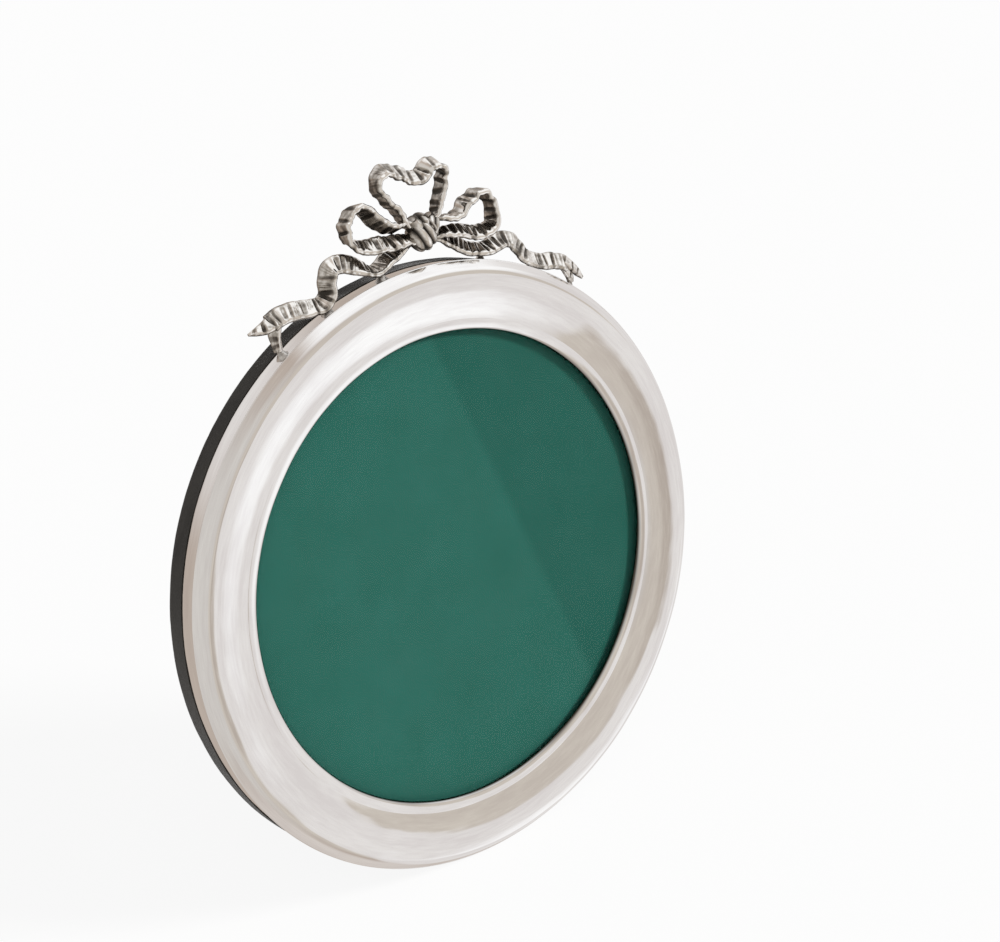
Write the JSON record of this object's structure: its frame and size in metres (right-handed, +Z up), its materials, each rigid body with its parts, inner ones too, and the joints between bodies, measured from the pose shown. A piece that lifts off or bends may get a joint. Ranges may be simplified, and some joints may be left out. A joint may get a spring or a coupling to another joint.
{
  "type": "round photo frame",
  "caption": "Round silver photo frame with a ribbon-bow crest, glazed opening, push-in velvet-covered back and hinged easel strut held by a ribbon stay.",
  "frame": {"origin": "on the table top, at the middle of the standing frame's bounding box", "axes": "+X to the right seen from the front, +Y to the back where the strut stands, +Z up; the frame leans back 9 degrees from +Z"},
  "size_m": [0.18, 0.0512, 0.2072],
  "materials": {
    "polished_silver": "polished, lightly rubbed",
    "oxidised_silver": "polished on the ridges, dark in the hollows",
    "solder": "dull",
    "bare_wood": "bare",
    "clear_glass": "clear",
    "green_paper": "matt",
    "grey_card": "matt",
    "dark_velvet": "short pile",
    "hinge_brass": "satin, slightly aged",
    "dark_ribbon": "woven"
  },
  "bodies": {
    "surround": {"silver_front": "polished_silver", "sight_bead": "polished_silver", "rim_band": "polished_silver", "liner_ring": "bare_wood", "glass": "clear_glass", "backing_sheet": "green_paper", "packing_card": "grey_card", "bow_knot": "oxidised_silver", "bow_top_loop": "oxidised_silver", "bow_left_loop": "oxidised_silver", "bow_right_loop": "oxidised_silver", "bow_left_tail": "oxidised_silver", "bow_right_tail": "oxidised_silver", "bow_solder_feet": "solder"},
    "back": {"back_board": "bare_wood", "back_velvet": "dark_velvet", "hinge_back_leaf": "hinge_brass", "hinge_pin": "hinge_brass", "hinge_back_screws": "hinge_brass", "stay_back_rivet": "hinge_brass", "stay_ribbon": "dark_ribbon"},
    "strut": {"strut_board": "bare_wood", "strut_velvet": "dark_velvet", "hinge_strut_leaf": "hinge_brass", "hinge_strut_screws": "hinge_brass", "stay_strut_rivet": "hinge_brass"}
  },
  "joints": [
    {"name": "back_pull_off", "type": "slide", "parent": "surround", "child": "back", "axis": [0, 0.9877, -0.1564], "range_m": [0, 0.03]},
    {"name": "strut_fold", "type": "hinge", "parent": "back", "child": "strut", "pos_m": [0, 0.00939, 0.11298], "axis": [1, 0, 0], "range_deg": [-15, 0], "deforming": ["stay_ribbon"]}
  ]
}
